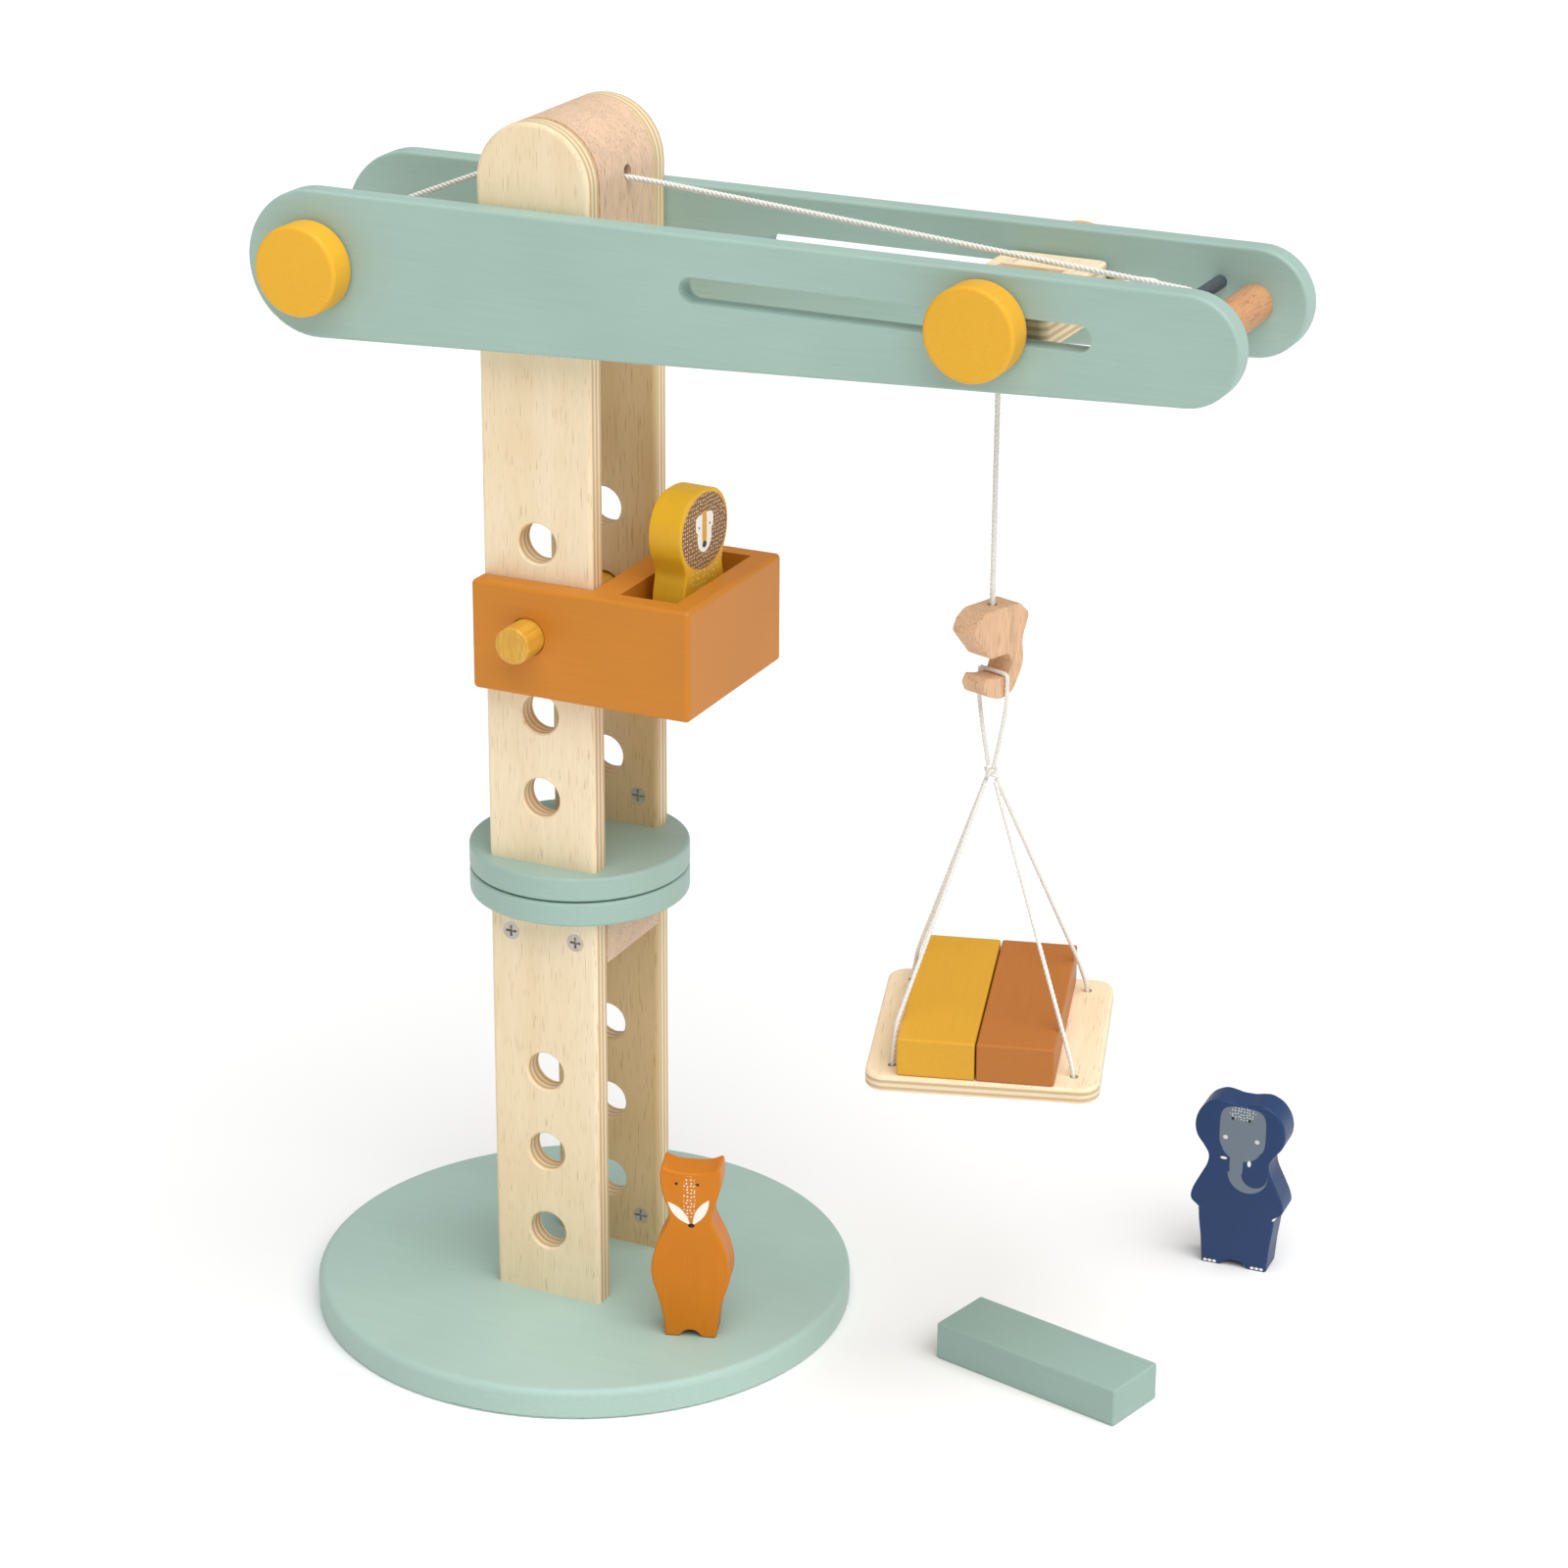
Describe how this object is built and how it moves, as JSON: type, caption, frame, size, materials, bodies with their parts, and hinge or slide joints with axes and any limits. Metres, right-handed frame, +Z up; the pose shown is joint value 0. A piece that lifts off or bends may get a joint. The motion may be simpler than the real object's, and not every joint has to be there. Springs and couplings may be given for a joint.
{
  "type": "toy tower crane",
  "caption": "Wooden toy tower crane with a turning jib, a hand winch, a sliding trolley, a hook with a slung pallet, a pinned cab, blocks and animal figures.",
  "frame": {"origin": "centre of the round base board's underside, on the tower's turning axis", "axes": "+Z up along the tower, +X along the jib towards its tip, -Y towards the tower's front plate"},
  "size_m": [0.362, 0.2358, 0.451],
  "materials": {
    "sage_paint": "satin painted wood",
    "mustard_paint": "satin painted wood",
    "cab_paint": "satin painted wood",
    "rust_paint": "satin painted wood",
    "fox_paint": "satin painted wood with simple face marks",
    "navy_paint": "satin painted wood with simple face marks",
    "lion_paint": "satin painted wood with simple face marks",
    "birch_ply": "clear sealed birch plywood",
    "beech": "clear sealed beech",
    "steel": "zinc plated",
    "dark_steel": "dark plated",
    "cotton": "twisted cotton cord",
    "washer_plastic": "plain"
  },
  "bodies": {
    "base": {"base_board": "sage_paint", "base_bolts": "steel", "base_barrel_nuts": "steel", "lower_plate_front": "birch_ply", "lower_plate_rear": "birch_ply", "lower_block": "beech", "tower_screws": "dark_steel", "lower_disc": "sage_paint", "pivot_washer": "washer_plastic", "pivot_bolt": "steel", "pivot_nut": "steel"},
    "upper_tower": {"upper_disc": "sage_paint", "upper_bolts": "steel", "upper_barrel_nuts": "steel", "upper_plate_front": "birch_ply", "upper_plate_rear": "birch_ply", "head_block": "beech", "jib_dowels": "beech", "jib_plate_front": "sage_paint", "jib_plate_rear": "sage_paint", "tip_dowel": "beech", "cord_rod": "dark_steel", "cab": "cab_paint", "hoist_cord_run": "cotton", "hoist_cord_return": "cotton"},
    "winch": {"winch_axle": "beech", "winch_knob_front": "mustard_paint", "winch_knob_rear": "mustard_paint", "cord_winding": "cotton"},
    "trolley": {"trolley_board": "birch_ply", "hoist_cord_on_pulley": "cotton"},
    "trolley_wheels": {"trolley_axle": "beech", "trolley_knob_front": "mustard_paint", "trolley_knob_rear": "mustard_paint", "trolley_pulley": "beech"},
    "fall": {"hoist_cord_fall": "cotton"},
    "hook": {"hook": "beech"},
    "pallet": {"pallet_board": "birch_ply", "sling_knot": "cotton", "sling_leg_left_front": "cotton", "sling_leg_left_rear": "cotton", "sling_leg_right_front": "cotton", "sling_leg_right_rear": "cotton", "pallet_end_knots": "cotton", "sling_loop": "cotton"},
    "block_mustard": {"block_mustard": "mustard_paint"},
    "block_rust": {"block_rust": "rust_paint"},
    "block_sage": {"block_sage": "sage_paint"},
    "cab_pin": {"cab_pin": "mustard_paint"},
    "fox": {"fox": "fox_paint"},
    "elephant": {"elephant": "navy_paint"},
    "lion": {"lion": "lion_paint"}
  },
  "joints": [
    {"name": "slew", "type": "hinge", "parent": "base", "child": "upper_tower", "pos_m": [0, 0, 0.1743], "axis": [0, 0, 1], "continuous": true},
    {"name": "winch_turn", "type": "hinge", "parent": "upper_tower", "child": "winch", "pos_m": [-0.081, 0, 0.3955], "axis": [0, -1, 0], "range_deg": [-560, 470]},
    {"name": "trolley_slide", "type": "slide", "parent": "upper_tower", "child": "trolley", "axis": [-1, 0, 0], "range_m": [-0.033, 0.062], "deforming": ["hoist_cord_return"]},
    {"name": "trolley_roll", "type": "hinge", "parent": "trolley", "child": "trolley_wheels", "pos_m": [0.168, 0, 0.403], "axis": [0, 1, 0], "range_deg": [-520, 435]},
    {"name": "fall_swing", "type": "hinge", "parent": "trolley", "child": "fall", "pos_m": [0.1587, 0, 0.4028], "axis": [0, -1, 0], "range_deg": [-10, 10]},
    {"name": "hook_hoist", "type": "slide", "parent": "fall", "child": "hook", "axis": [0, 0, 1], "range_m": [-0.096, 0.081], "deforming": ["hoist_cord_fall"]},
    {"name": "pallet_swing", "type": "hinge", "parent": "hook", "child": "pallet", "pos_m": [0.1592, 0.00142, 0.2715], "axis": [-0.9438, 0.3305, 0], "range_deg": [-12, 12]},
    {"name": "block_mustard_slide", "type": "slide", "parent": "pallet", "child": "block_mustard", "axis": [-0.2715, 0.9596, 0.0732], "range_m": [0, 0.09]},
    {"name": "block_rust_slide", "type": "slide", "parent": "pallet", "child": "block_rust", "axis": [-0.2715, 0.9596, 0.0732], "range_m": [0, 0.09]},
    {"name": "block_sage_lift", "type": "slide", "parent": "base", "child": "block_sage", "axis": [0, 0, 1], "range_m": [0, 0.05]},
    {"name": "cab_pin_pull", "type": "slide", "parent": "upper_tower", "child": "cab_pin", "axis": [0, -1, 0], "range_m": [0, 0.09]},
    {"name": "lion_lift", "type": "slide", "parent": "upper_tower", "child": "lion", "axis": [0, 0, 1], "range_m": [0, 0.06]},
    {"name": "fox_lift", "type": "slide", "parent": "base", "child": "fox", "axis": [0, 0, 1], "range_m": [0, 0.05]},
    {"name": "elephant_lift", "type": "slide", "parent": "base", "child": "elephant", "axis": [0, 0, 1], "range_m": [0, 0.05]}
  ],
  "couplings": [
    {"joint": "hook_hoist", "follows": "winch_turn", "m_per_rad": 0.0095},
    {"joint": "trolley_roll", "follows": "winch_turn", "ratio": 0.92}
  ]
}
